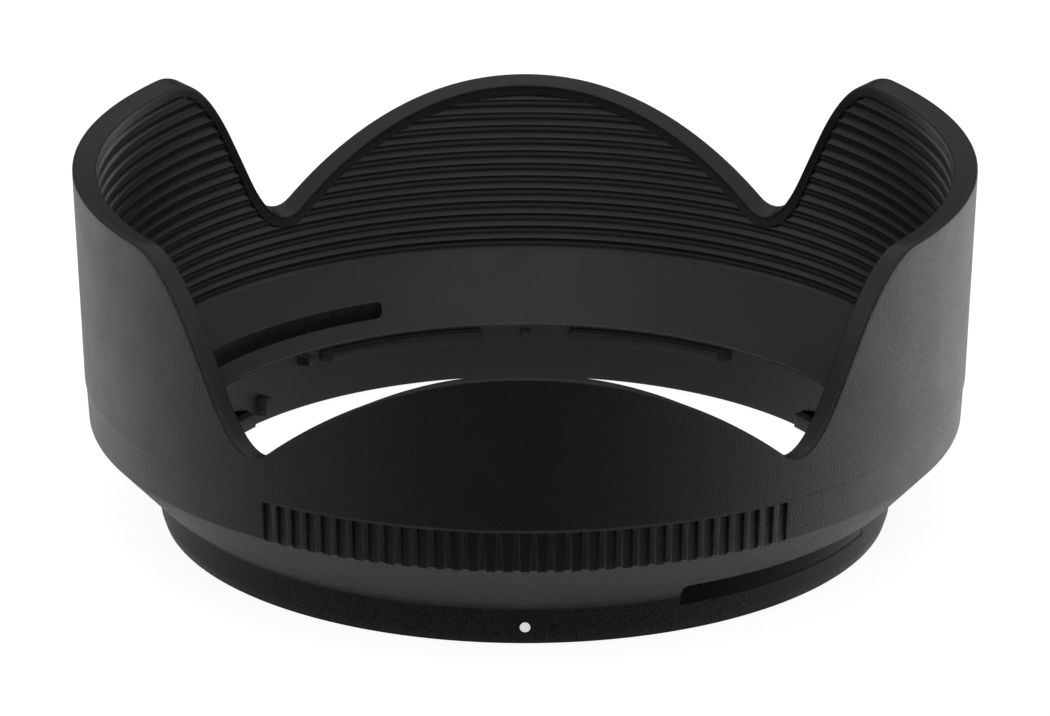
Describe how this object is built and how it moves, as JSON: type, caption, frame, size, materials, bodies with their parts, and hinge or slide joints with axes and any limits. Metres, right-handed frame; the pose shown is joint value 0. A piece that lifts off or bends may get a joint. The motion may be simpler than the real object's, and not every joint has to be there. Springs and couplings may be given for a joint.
{
  "type": "lens hood",
  "caption": "Petal lens hood with a slotted bayonet ring, sprung latch arms, ribbed inner wall and a grooved grip band.",
  "frame": {"origin": "centre of the ring's bottom face", "axes": "+Z along the lens axis towards the petals, +X through a long petal, -Y through the index dot"},
  "size_m": [0.0998, 0.0992, 0.0408],
  "materials": {
    "shell_plastic": "fine pearskin texture, satin black",
    "liner_plastic": "fine matt black ribs",
    "ring_plastic": "satin black",
    "latch_plastic": "satin black",
    "index_paint": "white fill paint"
  },
  "bodies": {
    "hood": {"petal_shell": "shell_plastic", "baffle_liner": "liner_plastic", "bayonet_ring_rear": "ring_plastic", "bayonet_ring_front": "ring_plastic", "bayonet_tabs": "ring_plastic", "side_lugs": "ring_plastic", "index_nubs": "ring_plastic", "index_dot": "index_paint"},
    "latch_front": {"latch_arm_front": "latch_plastic", "latch_pads_front": "latch_plastic"},
    "latch_rear": {"latch_arm_rear": "latch_plastic", "latch_pads_rear": "latch_plastic"}
  },
  "joints": [
    {"name": "latch_front_flex", "type": "slide", "parent": "hood", "child": "latch_front", "axis": [0.7022, -0.712, 0], "range_m": [0, 0.0005], "stiffness_N_per_m": 20000},
    {"name": "latch_rear_flex", "type": "slide", "parent": "hood", "child": "latch_rear", "axis": [-0.7022, 0.712, 0], "range_m": [0, 0.0005], "stiffness_N_per_m": 20000}
  ]
}
